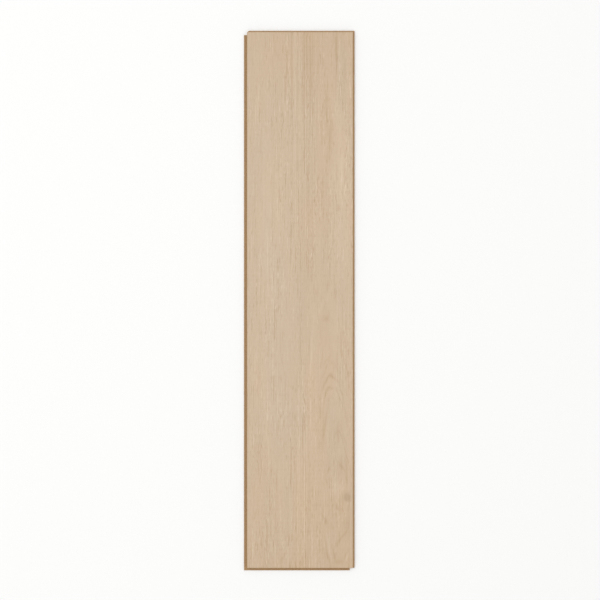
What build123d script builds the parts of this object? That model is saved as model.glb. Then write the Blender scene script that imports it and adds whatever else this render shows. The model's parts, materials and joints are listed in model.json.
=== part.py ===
from build123d import *
import os
from math import radians, sin, tan

# Laminate floor plank: one pressed fibreboard with a printed oak face, milled on all four edges
# with an angling click joint. Seen from above with +Y up, the right edge and the far end carry a
# tongue over a locking recess, the left edge and the near end a groove over a lower lip whose
# ridge hooks into the next plank's recess. Laid planks repeat at exactly one face width and length.
# Frame: +Y along the plank, +Z up, origin on the underside below the middle of the face.

# Face of the laid plank, from joint plane to joint plane
face_length = 1215.0
face_width = 240.0
board_thickness = 8.0

# Joint on the long edges
long_bevel_width = 1.2
long_lip_thickness = 2.4
long_lip_reach = 7.0
long_ridge_height = 1.0
long_tongue_thickness = 2.3
long_tongue_length = 3.6

# Joint on the ends, cut a little lower and shorter
end_bevel_width = 0.8
end_lip_thickness = 2.2
end_lip_reach = 6.0
end_ridge_height = 0.8
end_tongue_thickness = 2.1
end_tongue_length = 3.2

# Pressed bevel round the face, measured down from it
bevel_angle = 27.0

# Locking ridge: its flat top, the slope that pulls two planks together and its sloped back
ridge_top_width = 1.0
lock_angle = 50.0
back_angle = 50.0
back_drop = 0.6

# Tongue: its underside is level at the root, then rises to a thin nose, so that it rolls in
heel_flat = 1.0
nose_thickness = 1.0

# Play between two joined planks: on the surfaces that bear, and where they stay clear
fit_clearance = 0.05
joint_gap = 0.3

# Round that the cutters leave on the corners of the joint
cutter_radius = 0.3


def plank_section(
    plane, pitch, bevel_width, lip_thickness, lip_reach, ridge_height, tongue_thickness, tongue_length
):
    """Section over one pair of edges: lip and groove at -pitch/2, tongue and recess at +pitch/2."""
    groove_face = -pitch / 2
    tongue_face = pitch / 2
    bevel_foot = board_thickness - bevel_width * tan(radians(bevel_angle))

    # Levels above the underside
    lip_seat = lip_thickness + fit_clearance
    tongue_bottom = lip_thickness + joint_gap
    tongue_top = tongue_bottom + tongue_thickness
    nose_bottom = tongue_top - nose_thickness
    groove_top = tongue_top + fit_clearance
    ridge_top = lip_thickness + ridge_height
    recess_top = ridge_top + joint_gap

    # Lip with its locking ridge, and the groove above it
    lip_end = groove_face - lip_reach
    ridge_back = lip_end + back_drop / tan(radians(back_angle))
    ridge_front = ridge_back + ridge_top_width
    ridge_foot = ridge_front + ridge_height / tan(radians(lock_angle))
    groove_end = groove_face + tongue_length + joint_gap

    # Recess under the tongue, one pitch on, its wall parallel to the front of the ridge it takes
    lock_shift = pitch + fit_clearance / sin(radians(lock_angle))
    lock_foot = ridge_foot + lock_shift - fit_clearance / tan(radians(lock_angle))
    lock_top = ridge_front + lock_shift - joint_gap / tan(radians(lock_angle))
    recess_end = lip_end + pitch - joint_gap

    # Corners as x, height and radius, from the lip's end along the underside and back over the face
    corners = [
        (lip_end, 0, 0),
        (recess_end, 0, 0),
        (recess_end, recess_top, cutter_radius),
        (lock_top, recess_top, cutter_radius),
        (lock_foot, lip_seat, 0),
        (tongue_face, lip_seat, 0),
        (tongue_face, tongue_bottom, 0),
        (tongue_face + heel_flat, tongue_bottom, 0),
        (tongue_face + tongue_length, nose_bottom, cutter_radius),
        (tongue_face + tongue_length, tongue_top, cutter_radius),
        (tongue_face, tongue_top, 0),
        (tongue_face, bevel_foot, 0),
        (tongue_face - bevel_width, board_thickness, 0),
        (groove_face + bevel_width, board_thickness, 0),
        (groove_face, bevel_foot, 0),
        (groove_face, groove_top, cutter_radius),
        (groove_end, groove_top, cutter_radius),
        (groove_end, nose_bottom - joint_gap, cutter_radius),
        (groove_face + heel_flat, lip_thickness, 0),
        (ridge_foot, lip_thickness, cutter_radius),
        (ridge_front, ridge_top, cutter_radius),
        (ridge_back, ridge_top, cutter_radius),
        (lip_end, ridge_top - back_drop, 0),
    ]
    with BuildSketch(plane) as section:
        with BuildLine():
            FilletPolyline([(x, z) for x, z, _ in corners], radius=[r for _, _, r in corners], close=True)
        make_face()
    return section.sketch


# How far each pair of edges reaches past the face, and the room that a lip of the next plank takes
long_reach = max(long_tongue_length, long_lip_reach)
end_reach = max(end_tongue_length, end_lip_reach)
long_lip_room = long_lip_reach + joint_gap
end_lip_room = end_lip_reach + joint_gap
half_length = face_length / 2 + end_reach
half_width = face_width / 2 + long_reach

# The two sections: the long edges' one runs along the plank, the ends' one across it
long_section = plank_section(
    Plane.XZ.offset(-half_length),
    pitch=face_width,
    bevel_width=long_bevel_width,
    lip_thickness=long_lip_thickness,
    lip_reach=long_lip_reach,
    ridge_height=long_ridge_height,
    tongue_thickness=long_tongue_thickness,
    tongue_length=long_tongue_length,
)
end_section = plank_section(
    Plane.YZ.offset(-half_width),
    pitch=face_length,
    bevel_width=end_bevel_width,
    lip_thickness=end_lip_thickness,
    lip_reach=end_lip_reach,
    ridge_height=end_ridge_height,
    tongue_thickness=end_tongue_thickness,
    tongue_length=end_tongue_length,
)

with BuildPart() as plank:
    # The board as it leaves the long-edge cutters, then what the end cutters leave of it
    extrude(long_section, amount=2 * half_length)
    extrude(end_section, amount=2 * half_width, mode=Mode.INTERSECT)

    # Corner notches: each lip stops where a lip of the neighbouring plank passes under the tongue
    with BuildSketch():
        with Locations((face_width / 2 - long_lip_room, -face_length / 2)):
            Rectangle(long_lip_room + long_reach, end_reach, align=(Align.MIN, Align.MAX))
        with Locations((-face_width / 2, face_length / 2 - end_lip_room)):
            Rectangle(long_reach, end_lip_room + end_reach, align=(Align.MAX, Align.MIN))
    extrude(amount=board_thickness, mode=Mode.SUBTRACT)

plank.part.label = "plank"
os.makedirs("parts", exist_ok=True)
export_step(plank.part, "parts/plank.step")
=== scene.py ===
import json

import bpy
import numpy as np
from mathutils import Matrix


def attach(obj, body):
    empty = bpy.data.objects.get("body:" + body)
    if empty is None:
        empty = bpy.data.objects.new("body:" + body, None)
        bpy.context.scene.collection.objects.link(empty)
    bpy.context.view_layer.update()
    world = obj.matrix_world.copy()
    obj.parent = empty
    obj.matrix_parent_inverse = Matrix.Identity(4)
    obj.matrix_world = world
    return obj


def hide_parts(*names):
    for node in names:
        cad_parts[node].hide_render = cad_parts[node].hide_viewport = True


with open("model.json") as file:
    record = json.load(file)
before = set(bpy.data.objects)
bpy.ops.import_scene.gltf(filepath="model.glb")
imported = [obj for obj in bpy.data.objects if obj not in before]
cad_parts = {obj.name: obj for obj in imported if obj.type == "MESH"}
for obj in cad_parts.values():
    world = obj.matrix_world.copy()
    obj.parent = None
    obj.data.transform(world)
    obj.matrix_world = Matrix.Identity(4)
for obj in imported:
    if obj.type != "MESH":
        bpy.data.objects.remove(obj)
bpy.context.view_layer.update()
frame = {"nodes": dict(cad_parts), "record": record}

# Looks of a laminate floor plank: a printed oak face pressed with a shallow pore relief, bevelled all
# round, on a fibreboard core milled to a click joint. Sizes and places on the plank are in millimetres,
# with x across it and y along it, and those of the studio in metres. A tone is how much paler the print is
# than the plain board, or how much darker where it is below 0. At the board's ends and at the foot of the
# bevels it also holds painted shade.
MM = 0.001

# Points this close lie on one edge or level, and those that agree to this many decimals are one point
TOUCH = 0.002
MERGED_DECIMALS = 3

# Random numbers: each draw has the seed and a number of its own, and fills a table of cells that repeats
SEED = 20
CELLS = 256

# Face: its edges and level are the record's mounts, its flat and its bevels are read from the CAD node
mounts = {mount["name"]: np.array(mount["pos_m"]) / MM for mount in frame["record"]["mounts"]}
half_width = mounts["long_tongue"][0]
half_length = mounts["end_tongue"][1]
face_level = mounts["oak_face"][2]

# Upward part of a triangle's normal, at least this on the face and its bevels and less than this on the
# underside, and the angle from which an edge is sharp
LOOKS_UP = 0.5
LOOKS_DOWN = -0.99
SHARP_ANGLE = np.radians(20)

# Finishes, in the order of the mesh's material slots
OAK = 0
CORE = 1
BACKING = 2

# Stations of the face's grid, across and along: fine enough for a pore 1.5 mm wide and 14 mm long
STATIONS_ACROSS = 340
STATIONS_ALONG = 276

# Pressed relief: the depth of the pores and of the ring lines between them, the half width of a ring line
# in ring pitches, the margin in which both run out at the rim, and the depth of the finest fibres
PORE_DEPTH = 0.1
RING_DEPTH = 0.05
RING_LINE_WIDTH = 0.15
RELIEF_MARGIN = 4.0
FIBRE_DEPTH = 0.03

# Flow of the grain, as drifts: rows of size, width across, length along and draw, as all drifts below are
FLOW_DRIFTS = (
    (1.0, 60.0, 420.0, 1),
    (0.25, 12.0, 170.0, 2),
)

# Strokes along the grain: width, length and part of the share for each of three kinds, the fewest and the
# most cells that a column has to that length, the part of its cell over which a stroke tapers at each end,
# and the share of cells with a pore or a pale fleck, with the first of their draws
STROKES = (
    (1.5, 14.0, 1.0),
    (1.8, 36.0, 1.0),
    (2.2, 90.0, 0.6),
)
CELLS_TO_LENGTH = (0.7, 1.4)
STROKE_TAPER = 0.25
PORE_SHARE = 0.16
PORE_DRAW = 11
FLECK_SHARE = 0.12
FLECK_DRAW = 21

# Growth rings: their pitch, the drifts of their wavering lines, of their spacing and of their rough edges,
# and the power that rounds their arches
RING_PITCH = 5.3
RING_WAVER_DRIFTS = (
    (2.6, 40.0, 120.0, 4),
    (1.7, 14.0, 38.0, 5),
)
RING_SPACING_DRIFTS = ((1.0, 11.0, 700.0, 6),)
RING_EDGE_DRIFTS = ((0.45, 6.0, 11.0, 7),)
ARCH_POWER = 1.9

# Printed ring lines: the power that thins them, the draw of their strengths and the power that spreads
# these, the width and length of the breaks in them, their weight everywhere and what the crown adds to it
RING_THINNING = 3.0
RING_DRAW = 731
RING_VARIETY = 1.6
RING_BREAK = (11.0, 110.0)
RING_LEAST = 0.16
RING_CROWN = 0.6

# Knot: its place, half width and half length, and tone
KNOT_X = 107.0
KNOT_Y = -447.5
KNOT_WIDTH = 9.5
KNOT_LENGTH = 11.0
KNOT_TONE = -0.75

# Crown: the line that its arches stand on, the length over which that bends to the knot, its sway, and the
# half width of the crown
CROWN_X = 73.0
CROWN_BEND = 270.0
CROWN_SWAY = 2.0
CROWN_SWAY_LENGTH = 160.0
CROWN_SWAY_DRAW = 3
CROWN_WIDTH = 32.0

# Depth of the cut into the rings: at the crown's foot, and the rise above it
FOOT_DEPTH = 5.0
RISE_DEPTH = 48.0
RISE_START = -400.0
RISE_LENGTH = 330.0

# Fading of the crown: the least share that is left of it above its top, and again below its foot by the
# knot, and the length of each fade
CROWN_LEAST = 0.35
CROWN_TOP_Y = 150.0
CROWN_TOP_FADE = 250.0
CROWN_FOOT_Y = -440.0
CROWN_FOOT_FADE = 60.0

# Straight grain between the crown and the paler side: its line and half width, its share in the middle of
# the board, and what it gains towards the far and the near end, from a start over a ramp
STRAIGHT_X = 2.0
STRAIGHT_WIDTH = 28.0
STRAIGHT_MIDDLE = 0.3
STRAIGHT_FAR = 0.7
STRAIGHT_NEAR = 0.45
STRAIGHT_START = 90.0
STRAIGHT_RAMP = 300.0

# Contrast of the fibres: the drift of its patches and its limits, the gain at the right edge, and more of
# it towards the far end, from a start over a ramp, and the part that the crown and the knot take off
PATCH_DRIFTS = ((0.4, 15.0, 80.0, 33),)
PATCH_LIMITS = (-0.64, 0.48)
RIGHT_CONTRAST = 0.1
FAR_RIGHT_CONTRAST = 0.28
FAR_START = -150.0
FAR_RAMP = 300.0
CROWN_CALM = 0.62
KNOT_CALM = 0.8

# Broad tones: slow bands, painted shade at the board's ends, where the light falls off, and the foot of the
# bevels, where the pressed print is a little darker and the groove's shade is painted in as well
BAND_DRIFTS = (
    (0.03, 9.0, 420.0, 31),
    (0.03, 26.0, 600.0, 32),
)
# Painted shade: the ends are darker, standing in for light that falls off towards them
PAINTED_END_SHADE = -0.2
BEVEL_TINT_AND_SHADE = -0.6

# Tones of a pore, a pale fleck and a hair-fine pore, the width and length of the last, and the tones of the
# darkest and the palest print
PORE_TONE = -0.66
FLECK_TONE = 0.7
HAIR_TONE = -0.4
HAIR_PORE = (0.4, 10.0)
DARKEST_TONE = -1.1
PALEST_TONE = 0.9

# Warmth, the share of the warmer ink: its middle, its gain at the right edge, at the ends and in a dark
# mark, its drifts, what the knot takes off, and the least that is left
WARMTH_MIDDLE = 0.43
WARMTH_RIGHT = 0.13
WARMTH_ENDS = 0.23
WARMTH_DARK = 0.12
WARMTH_DRIFTS = (
    (0.12, 50.0, 240.0, 1157),
    (0.12, 24.0, 90.0, 1158),
)
KNOT_COOLING = 0.36
WARMTH_LEAST = 0.26

# Marks of the print: x, y, half width, half length, lean across for each step along, and tone, from -1
# for the darkest to 1 for the palest, with the drifts that waver across them
MARK_DRIFTS = ((1.0, 5.0, 22.0, 8),)
MARKS = (
    (81.5, 575.0, 2.6, 40.0, 0.0, -0.6),
    (41.0, 547.0, 2.6, 42.0, 0.0, -0.28),
    (14.7, 532.0, 9.0, 90.0, 0.0, -0.28),
    (83.0, 530.0, 1.6, 30.0, 0.0, -0.45),
    (100.0, 512.0, 2.6, 38.0, 0.0, -0.3),
    (25.5, 502.0, 2.8, 80.0, 0.0, -0.34),
    (5.7, 476.0, 2.2, 110.0, 0.0, -0.3),
    (82.0, 440.0, 5.0, 50.0, 0.0, 0.22),
    (60.0, 432.0, 3.0, 38.0, 0.0, -0.38),
    (70.0, 373.0, 6.0, 55.0, 0.0, -0.32),
    (62.0, 321.0, 4.0, 14.0, 0.0, -0.32),
    (92.0, 305.0, 13.0, 90.0, 0.0, 0.14),
    (-45.0, 300.0, 3.5, 130.0, 0.0, 0.15),
    (18.8, 289.0, 2.2, 80.0, 0.0, -0.4),
    (93.0, 271.0, 2.5, 8.0, 0.0, 0.5),
    (-2.0, 270.0, 4.0, 50.0, 0.0, -0.2),
    (98.0, 220.0, 24.0, 200.0, 0.0, 0.22),
    (87.0, 210.0, 3.2, 8.0, 0.0, -0.5),
    (-60.0, 80.0, 60.0, 300.0, 0.0, 0.12),
    (10.0, 70.0, 16.0, 200.0, 0.0, -0.17),
    (38.0, 14.0, 5.0, 16.0, 0.3, -0.22),
    (87.0, 8.0, 8.0, 22.0, 0.0, -0.2),
    (48.0, -18.0, 5.0, 40.0, 0.52, 0.15),
    (65.5, -38.0, 1.8, 10.0, 0.0, -0.26),
    (58.0, -43.0, 9.0, 6.0, 0.0, -0.38),
    (111.0, -70.0, 4.0, 45.0, 0.0, 0.3),
    (-2.0, -80.0, 2.0, 120.0, 0.0, -0.25),
    (92.5, -88.0, 2.2, 46.0, -0.1, -0.42),
    (26.5, -118.0, 2.2, 75.0, 0.06, 0.36),
    (61.0, -136.0, 2.8, 13.0, 0.7, -0.3),
    (104.0, -150.0, 2.2, 26.0, -0.28, -0.4),
    (-6.0, -189.0, 5.0, 20.0, 0.0, -0.22),
    (104.0, -262.0, 2.0, 18.0, -0.16, -0.34),
    (-78.0, -265.0, 25.0, 60.0, 0.0, 0.12),
    (58.0, -282.0, 2.4, 38.0, 0.15, -0.42),
    (87.0, -296.0, 6.0, 25.0, 0.0, -0.26),
    (87.5, -314.0, 2.6, 9.0, 0.25, -0.36),
    (101.0, -316.0, 2.4, 10.0, -0.5, -0.28),
    (92.0, -375.0, 7.0, 22.0, 0.0, -0.24),
    (95.0, -377.0, 2.6, 11.0, -0.62, -0.42),
    (66.0, -384.0, 2.2, 8.0, 0.5, -0.45),
    (105.0, -386.0, 3.0, 45.0, 0.0, -0.5),
    (80.0, -427.0, 16.0, 17.0, 0.0, 0.3),
    (85.0, -469.0, 2.8, 12.0, -0.44, -0.34),
    (58.0, -502.0, 3.2, 7.0, 0.0, -0.75),
    (107.0, -511.0, 6.0, 28.0, 0.0, -0.32),
    (-95.0, -530.0, 22.0, 80.0, 0.0, 0.1),
    (94.0, -539.0, 3.2, 16.0, 0.71, -0.46),
    (-79.0, -545.0, 4.0, 40.0, 0.0, 0.25),
    (66.0, -560.0, 2.2, 30.0, -0.15, 0.36),
    (61.0, -573.0, 1.8, 30.0, -0.17, -0.5),
    (77.5, -578.0, 2.0, 13.0, -0.26, -0.45),
    (103.0, -579.0, 2.0, 9.0, 0.5, -0.42),
    (106.5, -585.0, 2.0, 10.0, 0.5, 0.35),
    (91.0, -594.0, 9.0, 5.0, 0.0, -0.36),
)

# Sockets of a colour mix, which go by number: its share, its two colours and its result
MIX_SHARE = 0
MIX_FIRST = 6
MIX_SECOND = 7
MIX_RESULT = 2

# Studio, in metres: the floor, a hair below the plank, the strength of the surroundings, the soft box with
# its power in watts, and the side of the camera's frame at the face; lens and sensor are in millimetres
FLOOR_HALF = 12.0
FLOOR_LEVEL = -0.0001
SURROUNDINGS = 0.75
BOX_SIDE = 5.0
BOX_POWER = 210.0
BOX_PLACE = (-2.0, 1.0, 7.5)
FRAME_SIDE = 1.36
LENS = 100.0
SENSOR = 36.0


def linear(code):
    """Linear colour of an sRGB hex value, by the standard's formula."""
    srgb = np.array([int(code[i : i + 2], 16) for i in (1, 3, 5)]) / 255
    return (*np.where(srgb <= 0.04045, srgb / 12.92, ((srgb + 0.055) / 1.055) ** 2.4), 1.0)


def smooth(t):
    """Cubic step: 3t^2 - 2t^3 between 0 and 1, level outside."""
    t = np.clip(t, 0, 1)
    return t * t * (3 - 2 * t)


def bell(distance, reach):
    """Bell curve: e to the power of minus the square of the distance in reaches."""
    return np.exp(-((distance / reach) ** 2))


def value_noise(u, v, draw):
    """Value noise: normal random heights on whole-number points, joined by cubic steps in u and v."""
    heights = np.random.default_rng([SEED, draw]).standard_normal((CELLS, CELLS))
    column = np.floor(u).astype(int)
    row = np.floor(v).astype(int)
    across = smooth(u - column)
    along = smooth(v - row)
    left, right = column % CELLS, (column + 1) % CELLS
    near, far = row % CELLS, (row + 1) % CELLS
    near_height = heights[left, near] * (1 - across) + heights[right, near] * across
    far_height = heights[left, far] * (1 - across) + heights[right, far] * across
    return near_height * (1 - along) + far_height * along


def drifts(u, v, layers):
    """Sum of value noises, each with its size, its width along u, its length along v and its draw."""
    return sum(size * value_noise(u / width, v / length, draw) for size, width, length, draw in layers)


def dashes(u, v, draw, share):
    """Strokes along v: each whole column of u is cut into cells of random length from a random start, and
    a share of the cells carries a stroke of random strength, with a round section and tapered ends."""
    rng = np.random.default_rng([SEED, draw])
    density = rng.uniform(*CELLS_TO_LENGTH, CELLS)
    start = rng.uniform(0, 1, CELLS)
    strength = np.clip((rng.random((CELLS, CELLS)) - 1 + share) / share, 0, 1) ** 2
    column = np.floor(u).astype(int)
    across = 1 - (2 * (u - column) - 1) ** 2
    v = v * density[column % CELLS] + start[column % CELLS]
    cell = np.floor(v).astype(int)
    along = smooth(np.minimum(v - cell, 1 - v + cell) / STROKE_TAPER)
    return strength[column % CELLS, cell % CELLS] * across * along


def grain_flow(x, y):
    """Place across the grain: x, pushed aside a little by slow drifts that are long in y."""
    return x + drifts(x, y, FLOW_DRIFTS)


def strokes(x, y, draw, share):
    """Strokes along the grain in three lengths, of which the strongest counts."""
    flow = grain_flow(x, y)
    kinds = [
        dashes(flow / width, y / length, draw + number, part * share)
        for number, (width, length, part) in enumerate(STROKES)
    ]
    return np.maximum.reduce(kinds)


def pores(x, y):
    """Open pores of the oak, which are dark."""
    return strokes(x, y, PORE_DRAW, PORE_SHARE)


def flecks(x, y):
    """Pale fibres between the pores."""
    return strokes(x, y, FLECK_DRAW, FLECK_SHARE)


def crown_line(y):
    """Line that the arches stand on: straight above, bending over in a cubic step to the knot at its foot,
    with a slow sway."""
    bend = smooth((KNOT_Y + CROWN_BEND - y) / CROWN_BEND)
    sway = CROWN_SWAY * value_noise(np.zeros_like(y), y / CROWN_SWAY_LENGTH, CROWN_SWAY_DRAW)
    return CROWN_X + (KNOT_X - CROWN_X) * bend + sway


def ring_count(x, y):
    """Growth rings as near-hyperbolas: distance from the crown line and depth of the cut, each to the same
    power, added and brought back by that power's root, in ring pitches. The depth rises in a cubic step
    above the knot, where the rings close in arches, and drifts make lines, spacing and edges uneven."""
    depth = FOOT_DEPTH + RISE_DEPTH * smooth((y - RISE_START) / RISE_LENGTH)
    aside = np.abs(x + drifts(x, y, RING_WAVER_DRIFTS) - crown_line(y))
    radius = (aside**ARCH_POWER + depth**ARCH_POWER) ** (1 / ARCH_POWER)
    uneven = drifts(radius, y, RING_SPACING_DRIFTS) + drifts(x, y, RING_EDGE_DRIFTS)
    return (radius + uneven) / RING_PITCH


def crown_share(x, y):
    """Share of the crown's figure: a bell across the crown line, falling in cubic steps to its least share
    near its top and round the knot."""
    below_top = smooth((CROWN_TOP_Y - y) / CROWN_TOP_FADE)
    above_knot = smooth((y - CROWN_FOOT_Y) / CROWN_FOOT_FADE)
    share = bell(x - crown_line(y), CROWN_WIDTH)
    for fade in (below_top, above_knot):
        share = share * (CROWN_LEAST + (1 - CROWN_LEAST) * fade)
    return share


def knot_share(x, y):
    """Share of the knot: whole in its middle, falling by the fourth power of the way to its edge."""
    away = ((x - KNOT_X) / KNOT_WIDTH) ** 2 + ((y - KNOT_Y) / KNOT_LENGTH) ** 2
    return np.exp(-(away**2))


def fibre_contrast(x, y):
    """Contrast of the fibres: e to the power of a drift in long patches, more to the right, most of all on
    the far half, and less in the crown and the knot."""
    patches = np.exp(np.clip(drifts(grain_flow(x, y), y, PATCH_DRIFTS), *PATCH_LIMITS))
    gain = RIGHT_CONTRAST + FAR_RIGHT_CONTRAST * smooth((y - FAR_START) / FAR_RAMP)
    calm = (1 - CROWN_CALM * crown_share(x, y)) * (1 - KNOT_CALM * knot_share(x, y))
    return (1 + gain * x / half_width) * patches * calm


def straight_share(x, y):
    """Share of straight grain: a bell across a line near the middle of the board, rising in cubic steps
    towards its ends, most of all towards the far one."""
    far = smooth((y - STRAIGHT_START) / STRAIGHT_RAMP)
    near = smooth((-y - STRAIGHT_START) / STRAIGHT_RAMP)
    share = STRAIGHT_MIDDLE + STRAIGHT_FAR * far + STRAIGHT_NEAR * near
    return bell(x - STRAIGHT_X, STRAIGHT_WIDTH) * share


def mark_tone(x, y):
    """Tone of the marks: for each a bell along it times a bell across its leaning line, which wavers."""
    flow = grain_flow(x, y) + drifts(x, y, MARK_DRIFTS)
    return sum(
        tone * bell(flow - mark_x - lean * (y - mark_y), across) * bell(y - mark_y, along)
        for mark_x, mark_y, across, along, lean, tone in MARKS
    )


def bands_and_painted_end_shade(x, y):
    """Slow light and dark bands of the board, long in y, with painted shade at the ends: darker by the cube
    of the way to an end.
    """
    return drifts(grain_flow(x, y), y, BAND_DRIFTS) + PAINTED_END_SHADE * np.abs(y / half_length) ** 3


def warmth(x, y):
    """Share of the warmer ink: more to the right, by the square of the way to an end and a little in dark
    marks, with broad slow drifts, and less in the knot, which is greyer than the rest."""
    trend = WARMTH_RIGHT * x / half_width + WARMTH_ENDS * (y / half_length) ** 2
    share = WARMTH_MIDDLE + trend - WARMTH_DARK * mark_tone(x, y) + drifts(x, y, WARMTH_DRIFTS)
    return np.clip(share - KNOT_COOLING * knot_share(x, y), WARMTH_LEAST, 1)


def merged(points):
    """Points without their doubles, and the new place of each old point."""
    rounded = np.round(points, MERGED_DECIMALS)
    _, first, places = np.unique(rounded, axis=0, return_index=True, return_inverse=True)
    return points[first], places.reshape(-1)


def cad_copy(node):
    """Points in millimetres and triangles of a CAD node, with its double points merged."""
    mesh = frame["nodes"][node].data
    points = np.empty(len(mesh.vertices) * 3, np.float32)
    mesh.vertices.foreach_get("co", points)
    mesh.calc_loop_triangles()
    corners = np.empty(len(mesh.loop_triangles) * 3, np.int32)
    mesh.loop_triangles.foreach_get("vertices", corners)
    points, places = merged(points.reshape(-1, 3).astype(float) / MM)
    return points, places[corners].reshape(-1, 3)


def past_flat(x, y, flat_x, flat_y):
    """Way past the edge of the face's flat, across or along, whichever is more; less than 0 on the flat."""
    return np.maximum(np.abs(x) - flat_x, np.abs(y) - flat_y)


def face_grid(flat_x, flat_y, bevel_slope):
    """Oak face as a height over x and y: level, less the bevel's slope times the way past the flat, less
    the relief, which runs out at the rim. Returns the points, the quads and the rim's points."""
    # The mitres of the bevels meet the ends at a station of their own
    mitre_x = flat_x + half_length - flat_y
    across = np.linspace(-flat_x, flat_x, STATIONS_ACROSS)
    across = np.concatenate([[-half_width, -mitre_x], across, [mitre_x, half_width]])
    along = np.linspace(-flat_y, flat_y, STATIONS_ALONG)
    along = np.concatenate([[-half_length], along, [half_length]])
    y, x = np.meshgrid(along, across, indexing="ij")

    past = past_flat(x, y, flat_x, flat_y)
    ring = ring_count(x, y)
    ring_line = bell(ring - np.round(ring), RING_LINE_WIDTH) * crown_share(x, y)
    relief = PORE_DEPTH * pores(x, y) + RING_DEPTH * ring_line
    height = face_level - bevel_slope * np.maximum(past, 0) - relief * smooth(-past / RELIEF_MARGIN)
    points = np.stack([x, y, height], -1)

    place = np.arange(x.size).reshape(x.shape)
    quads = np.stack([place[:-1, :-1], place[:-1, 1:], place[1:, 1:], place[1:, :-1]], -1)
    rim = np.concatenate([place[0], place[-1], place[1:-1, 0], place[1:-1, -1]])
    return points.reshape(-1, 3), quads.reshape(-1, 4), rim


def open_sides(triangles):
    """Which sides of the triangles are open: those that no triangle runs along the other way round."""
    ends = np.roll(triangles, -1, axis=1)
    count = triangles.max() + 1
    return ~np.isin(triangles * count + ends, ends * count + triangles)


def sewn(triangle, is_open, points, rim):
    """Polygon of a triangle with the rim's points put in, in order, on each of its open sides."""
    polygon = []
    for start, end, side_is_open in zip(triangle, np.roll(triangle, -1), is_open):
        polygon.append(start)
        if side_is_open:
            run = points[end] - points[start]
            step = (points[rim] - points[start]) @ run / (run @ run)
            off = np.linalg.norm(points[start] + step[:, None] * run - points[rim], axis=1)
            inside = (off < TOUCH) & (step > 0) & (step < 1) & (rim != start) & (rim != end)
            polygon.extend(rim[inside][np.argsort(step[inside])])
    return np.array(polygon)


def store_figure(mesh, x, y, bevel_tint_and_shade_share):
    """Stores the oak's figure at the mesh's points: the grain as places across and along it and the ring
    count, and the rest as one number each."""
    grain = np.stack([grain_flow(x, y), y, ring_count(x, y)], -1)
    stored = mesh.attributes.new("grain", "FLOAT_VECTOR", "POINT")
    stored.data.foreach_set("vector", grain.astype(np.float32).ravel())
    # Painted shade: the bevels darken towards their foot, partly the pressed print's own tint and partly
    # the groove's shade painted in
    knot_tone_bevel_tint_and_shade = KNOT_TONE * knot_share(x, y) + BEVEL_TINT_AND_SHADE * bevel_tint_and_shade_share
    fields = {
        "pore": pores(x, y),
        "fleck": flecks(x, y),
        "fibre": fibre_contrast(x, y),
        "straight": straight_share(x, y),
        "ring_weight": RING_LEAST + RING_CROWN * crown_share(x, y),
        "tone": mark_tone(x, y) + bands_and_painted_end_shade(x, y) + knot_tone_bevel_tint_and_shade,
        "warmth": warmth(x, y),
    }
    for name, values in fields.items():
        stored = mesh.attributes.new(name, "FLOAT", "POINT")
        stored.data.foreach_set("value", values.astype(np.float32))


def make_plank():
    """The plank as one closed mesh: the CAD node's copy with its plain face and bevels taken off, and the
    face's grid sewn into the opening."""
    cad_points, triangles = cad_copy("plank")
    flat_x, flat_y = np.abs(cad_points[cad_points[:, 2] > face_level - TOUCH, :2]).max(0)
    bevel_foot = cad_points[np.abs(cad_points[:, 0] - half_width) < TOUCH, 2].max()
    bevel_slope = (face_level - bevel_foot) / (half_width - flat_x)

    # The walls and the underside are all triangles but those of the face and its bevels
    first, second, third = (cad_points[triangles[:, corner]] for corner in range(3))
    normals = np.cross(second - first, third - first)
    upward = normals[:, 2] / np.linalg.norm(normals, axis=1)
    lowest = cad_points[triangles, 2].min(1)
    kept = (upward < LOOKS_UP) | (lowest < bevel_foot - TOUCH)
    underside = (upward < LOOKS_DOWN) & (np.abs(lowest) < TOUCH)

    grid_points, quads, rim = face_grid(flat_x, flat_y, bevel_slope)
    points, places = merged(np.concatenate([cad_points, grid_points]))
    quads = places[quads + len(cad_points)]
    rim = places[rim + len(cad_points)]
    triangles = places[triangles[kept]]
    walls = [
        sewn(triangle, is_open, points, rim)
        for triangle, is_open in zip(triangles, open_sides(triangles))
    ]

    used = np.unique(np.concatenate([quads.ravel(), *walls]))
    polygons = np.searchsorted(used, quads).tolist()
    polygons += [np.searchsorted(used, wall).tolist() for wall in walls]
    mesh = bpy.data.meshes.new("plank_body")
    mesh.from_pydata(points[used] * MM, [], polygons)
    finishes = np.concatenate([np.full(len(quads), OAK), np.where(underside[kept], BACKING, CORE)])
    mesh.polygons.foreach_set("material_index", finishes.astype(np.int32))
    mesh.polygons.foreach_set("use_smooth", np.ones(len(finishes), bool))
    mesh.set_sharp_from_angle(angle=SHARP_ANGLE)

    x, y = points[used, 0], points[used, 1]
    past = past_flat(x, y, flat_x, flat_y)
    # The way down the bevels, from 0 at the flat to 1 at their foot, weighs their darker print and painted
    # shade
    store_figure(mesh, x, y, np.clip(past / (half_width - flat_x), 0, 1))
    return mesh


def add_node(tree, kind, inputs=None, output=0, **settings):
    """Adds a node and returns its output of that name or number, if it has one: settings are the node's own
    properties, inputs its sockets, each a value or an output to link."""
    made = tree.nodes.new(kind)
    for name, value in settings.items():
        setattr(made, name, value)
    for name, value in (inputs or {}).items():
        if isinstance(value, bpy.types.NodeSocket):
            tree.links.new(value, made.inputs[name])
        else:
            made.inputs[name].default_value = value
    return made.outputs[output] if len(made.outputs) else None


def new_material(name):
    """An empty node material and its tree."""
    material = bpy.data.materials.new(name)
    material.use_nodes = True
    material.node_tree.nodes.clear()
    return material, material.node_tree


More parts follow.
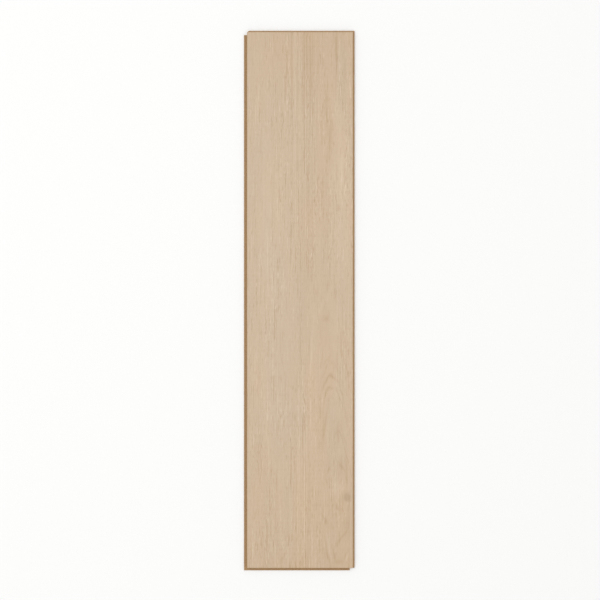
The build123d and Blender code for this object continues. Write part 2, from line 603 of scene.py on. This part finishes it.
def oak_decor():
    """Printed oak paper under pressed melamine: fine pale fibres, darker pores and ring lines of low
    contrast below a satin skin, a little duller in the pores."""
    material, tree = new_material("oak_print_pressed_melamine")
    grain = add_node(tree, "ShaderNodeAttribute", output="Vector", attribute_name="grain")
    pore, fleck, plain, straight, ring_weight, tone, warm = (
        add_node(tree, "ShaderNodeAttribute", output="Fac", attribute_name=name)
        for name in ("pore", "fleck", "fibre", "straight", "ring_weight", "tone", "warmth")
    )

    # Fibres: width, length, share of the tone, and what weighs them, the straight grain or the contrast of
    # plain fibres. The square of a noise, with its sign kept, makes them crisp. Real fibres are 0.2 mm
    # wide, and these are drawn wider so that they show.
    layers = (
        (2.4, 900.0, 8.0, straight),
        (1.7, 300.0, 1.8, plain),
        (1.3, 70.0, 1.5, plain),
        (0.9, 17.0, 1.7, plain),
        (0.3, 13.0, 1.5, plain),
    )
    for width, length, share, contrast in layers:
        scale = (1 / width, 1 / length, 0)
        scaled = add_node(tree, "ShaderNodeVectorMath", {0: grain, 1: scale}, operation="MULTIPLY")
        streaky = {"Vector": scaled, "Scale": 1.0, "Detail": 1.0, "Roughness": 0.5}
        fibre = add_node(tree, "ShaderNodeTexNoise", streaky, "Fac", noise_dimensions="2D")
        centred = add_node(tree, "ShaderNodeMath", {0: fibre, 1: 0.5}, operation="SUBTRACT")
        size = add_node(tree, "ShaderNodeMath", {0: centred}, operation="ABSOLUTE")
        crisp = add_node(tree, "ShaderNodeMath", {0: centred, 1: size}, operation="MULTIPLY")
        crisp = add_node(tree, "ShaderNodeMath", {0: crisp, 1: contrast}, operation="MULTIPLY")
        tone = add_node(tree, "ShaderNodeMath", {0: crisp, 1: share, 2: tone}, operation="MULTIPLY_ADD")
    finest = fibre

    # Ring lines: 1 at whole ring counts and 0 halfway between, thinned by a power, each ring with its own
    # strength, and broken along the grain
    ring = add_node(tree, "ShaderNodeSeparateXYZ", {0: grain}, "Z")
    line = add_node(tree, "ShaderNodeMath", {0: ring, 1: 0.5}, operation="PINGPONG")
    line = add_node(tree, "ShaderNodeMath", {0: line, 1: -2.0, 2: 1.0}, operation="MULTIPLY_ADD")
    line = add_node(tree, "ShaderNodeMath", {0: line, 1: RING_THINNING}, operation="POWER")
    which = add_node(tree, "ShaderNodeMath", {0: ring}, operation="ROUND")
    which = add_node(tree, "ShaderNodeMath", {0: which, 1: RING_DRAW}, operation="ADD")
    strength = add_node(tree, "ShaderNodeTexWhiteNoise", {"W": which}, "Value", noise_dimensions="1D")
    strength = add_node(tree, "ShaderNodeMath", {0: strength, 1: RING_VARIETY}, operation="POWER")
    scale = (1 / RING_BREAK[0], 1 / RING_BREAK[1], 0)
    scaled = add_node(tree, "ShaderNodeVectorMath", {0: grain, 1: scale}, operation="MULTIPLY")
    patchy = {"Vector": scaled, "Scale": 1.0, "Detail": 2.0}
    broken = add_node(tree, "ShaderNodeTexNoise", patchy, "Fac", noise_dimensions="2D")
    broken = add_node(tree, "ShaderNodeMapRange", {"Value": broken, "From Min": 0.3, "From Max": 0.55})
    for factor in (strength, broken, ring_weight):
        line = add_node(tree, "ShaderNodeMath", {0: line, 1: factor}, operation="MULTIPLY")
    tone = add_node(tree, "ShaderNodeMath", {0: tone, 1: line}, operation="SUBTRACT")

    # Pressed pores, which are dark, and pale flecks, with hair-fine pores between them. The finest fibres
    # split pores and flecks into threads, by two factors that mirror each other about 1.
    threads = {"Value": finest, "From Min": 0.4, "From Max": 0.6, "To Min": 1.9, "To Max": 0.1}
    darker = add_node(tree, "ShaderNodeMapRange", threads)
    paler = add_node(tree, "ShaderNodeMath", {0: 2.0, 1: darker}, operation="SUBTRACT")
    dark_pore = add_node(tree, "ShaderNodeMath", {0: pore, 1: darker}, operation="MULTIPLY")
    pale_fleck = add_node(tree, "ShaderNodeMath", {0: fleck, 1: paler}, operation="MULTIPLY")
    scale = (1 / HAIR_PORE[0], 1 / HAIR_PORE[1], 0)
    scaled = add_node(tree, "ShaderNodeVectorMath", {0: grain, 1: scale}, operation="MULTIPLY")
    plain_noise = {"Vector": scaled, "Scale": 1.0, "Detail": 0.0}
    hair = add_node(tree, "ShaderNodeTexNoise", plain_noise, "Fac", noise_dimensions="2D")
    hair = add_node(tree, "ShaderNodeMapRange", {"Value": hair, "From Min": 0.63, "From Max": 0.68})
    for ink, ink_tone in ((dark_pore, PORE_TONE), (pale_fleck, FLECK_TONE), (hair, HAIR_TONE)):
        inked = add_node(tree, "ShaderNodeMath", {0: ink, 1: plain}, operation="MULTIPLY")
        tone = add_node(tree, "ShaderNodeMath", {0: inked, 1: ink_tone, 2: tone}, operation="MULTIPLY_ADD")

    # Place between the darkest and the palest print, in a cooler and a warmer ink
    print_range = {"Value": tone, "From Min": DARKEST_TONE, "From Max": PALEST_TONE}
    place = add_node(tree, "ShaderNodeMapRange", print_range)
    cool_print = {MIX_SHARE: place, MIX_FIRST: linear("#B09778"), MIX_SECOND: linear("#D4C2AA")}
    warm_print = {MIX_SHARE: place, MIX_FIRST: linear("#B59672"), MIX_SECOND: linear("#D9C1A4")}
    cooler = add_node(tree, "ShaderNodeMix", cool_print, MIX_RESULT, data_type="RGBA")
    warmer = add_node(tree, "ShaderNodeMix", warm_print, MIX_RESULT, data_type="RGBA")
    both_prints = {MIX_SHARE: warm, MIX_FIRST: cooler, MIX_SECOND: warmer}
    colour = add_node(tree, "ShaderNodeMix", both_prints, MIX_RESULT, data_type="RGBA")

    # What is finer than the grid is bump: the finest fibres, cut by the hair-fine pores
    height = add_node(tree, "ShaderNodeMath", {0: finest, 1: hair}, operation="SUBTRACT")
    fine_relief = {"Strength": 0.6, "Distance": FIBRE_DEPTH * MM, "Height": height}
    bump = add_node(tree, "ShaderNodeBump", fine_relief)
    rough = add_node(tree, "ShaderNodeMapRange", {"Value": pore, "To Min": 0.48, "To Max": 0.62})
    skin = {"Base Color": colour, "Roughness": rough, "IOR": 1.55, "Normal": bump}
    shader = add_node(tree, "ShaderNodeBsdfPrincipled", skin)
    add_node(tree, "ShaderNodeOutputMaterial", {"Surface": shader})
    return material


def fibreboard_core():
    """Milled high-density fibreboard: matt brown with pale and dark fibre specks, denser and darker
    towards both skins of the board."""
    material, tree = new_material("high_density_fibreboard_milled")
    place = add_node(tree, "ShaderNodeTexCoord", output="Object")

    # Fibre bundles, 0.9 mm across, 3 mm along the board and 0.6 mm high
    scale = (1 / (0.9 * MM), 1 / (3 * MM), 1 / (0.6 * MM))
    scaled = add_node(tree, "ShaderNodeVectorMath", {0: place, 1: scale}, operation="MULTIPLY")
    bundled = {"Vector": scaled, "Scale": 1.0, "Detail": 5.0, "Roughness": 0.68}
    specks = add_node(tree, "ShaderNodeTexNoise", bundled, "Fac")
    fibres = add_node(tree, "ShaderNodeMapRange", {"Value": specks, "From Min": 0.3, "From Max": 0.7})
    loose = {MIX_SHARE: fibres, MIX_FIRST: linear("#94724C"), MIX_SECOND: linear("#BC9A70")}
    colour = add_node(tree, "ShaderNodeMix", loose, MIX_RESULT, data_type="RGBA")

    # Density, which rises away from the middle of the board's thickness
    middle = face_level / 2 * MM
    level = add_node(tree, "ShaderNodeSeparateXYZ", {0: place}, "Z")
    away = add_node(tree, "ShaderNodeMath", {0: level, 1: middle}, operation="SUBTRACT")
    away = add_node(tree, "ShaderNodeMath", {0: away}, operation="ABSOLUTE")
    rise = {"Value": away, "From Min": 0.45 * middle, "From Max": middle, "To Min": 0.0, "To Max": 0.45}
    dense = add_node(tree, "ShaderNodeMapRange", rise, interpolation_type="SMOOTHSTEP")
    packed = {MIX_SHARE: dense, MIX_FIRST: colour, MIX_SECOND: linear("#7F5F3D")}
    colour = add_node(tree, "ShaderNodeMix", packed, MIX_RESULT, data_type="RGBA")

    bump = add_node(tree, "ShaderNodeBump", {"Strength": 0.6, "Distance": 0.04 * MM, "Height": specks})
    cut = {"Base Color": colour, "Roughness": 0.8, "IOR": 1.5, "Normal": bump}
    shader = add_node(tree, "ShaderNodeBsdfPrincipled", cut)
    add_node(tree, "ShaderNodeOutputMaterial", {"Surface": shader})
    return material


def backing_paper():
    """Kraft balancing paper pressed with melamine: plain warm brown, faintly clouded, half matt."""
    material, tree = new_material("kraft_paper_pressed_melamine")
    place = add_node(tree, "ShaderNodeTexCoord", output="Object")

    # Clouds in the paper, 6 mm across
    clouded = {"Vector": place, "Scale": 1 / (6 * MM), "Detail": 5.0, "Roughness": 0.6}
    clouds = add_node(tree, "ShaderNodeTexNoise", clouded, "Fac")
    browns = {MIX_SHARE: clouds, MIX_FIRST: linear("#A68A66"), MIX_SECOND: linear("#B99D78")}
    colour = add_node(tree, "ShaderNodeMix", browns, MIX_RESULT, data_type="RGBA")
    bump = add_node(tree, "ShaderNodeBump", {"Strength": 0.3, "Distance": 0.02 * MM, "Height": clouds})
    sheet = {"Base Color": colour, "Roughness": 0.6, "IOR": 1.5, "Normal": bump}
    shader = add_node(tree, "ShaderNodeBsdfPrincipled", sheet)
    add_node(tree, "ShaderNodeOutputMaterial", {"Surface": shader})
    return material


def studio_floor():
    """Plain white painted board: matt and even."""
    material, tree = new_material("white_board_painted")
    paint = {"Base Color": linear("#F8F8F7"), "Roughness": 0.9}
    shader = add_node(tree, "ShaderNodeBsdfPrincipled", paint)
    add_node(tree, "ShaderNodeOutputMaterial", {"Surface": shader})
    return material


def add_object(name, data):
    """Object of that name in the scene, at the origin."""
    made = bpy.data.objects.new(name, data)
    bpy.context.scene.collection.objects.link(made)
    return made


# The plank, with its finishes in the order of their slots
plank_mesh = make_plank()
for finish in (oak_decor(), fibreboard_core(), backing_paper()):
    plank_mesh.materials.append(finish)
plank = add_object("plank_body", plank_mesh)
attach(plank, "root")
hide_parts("plank")

# The floor
floor_mesh = bpy.data.meshes.new("studio_floor")
floor_sides = ((-1, -1), (1, -1), (1, 1), (-1, 1))
floor_corners = [(x * FLOOR_HALF, y * FLOOR_HALF, FLOOR_LEVEL) for x, y in floor_sides]
floor_mesh.from_pydata(floor_corners, [], [(0, 1, 2, 3)])
floor_mesh.materials.append(studio_floor())
add_object("studio_floor", floor_mesh)

# Even white surroundings and one large soft box above the far left corner
world = bpy.data.worlds.new("studio")
world.use_nodes = True
background = world.node_tree.nodes["Background"].inputs
background["Color"].default_value = linear("#FFFFFF")
background["Strength"].default_value = SURROUNDINGS
bpy.context.scene.world = world
box_light = bpy.data.lights.new("soft_box", "AREA")
box_light.shape = "SQUARE"
box_light.size = BOX_SIDE
box_light.energy = BOX_POWER
soft_box = add_object("soft_box", box_light)
soft_box.location = BOX_PLACE
soft_box.rotation_euler = (-soft_box.location).to_track_quat("-Z", "Y").to_euler()

# Camera straight above the face, far enough back for its frame
camera_data = bpy.data.cameras.new("camera")
camera_data.lens = LENS
camera_data.sensor_width = SENSOR
camera = add_object("camera", camera_data)
camera.location = (0, 0, face_level * MM + FRAME_SIDE * LENS / SENSOR)
bpy.context.scene.camera = camera
bpy.context.scene.view_settings.view_transform = "Standard"
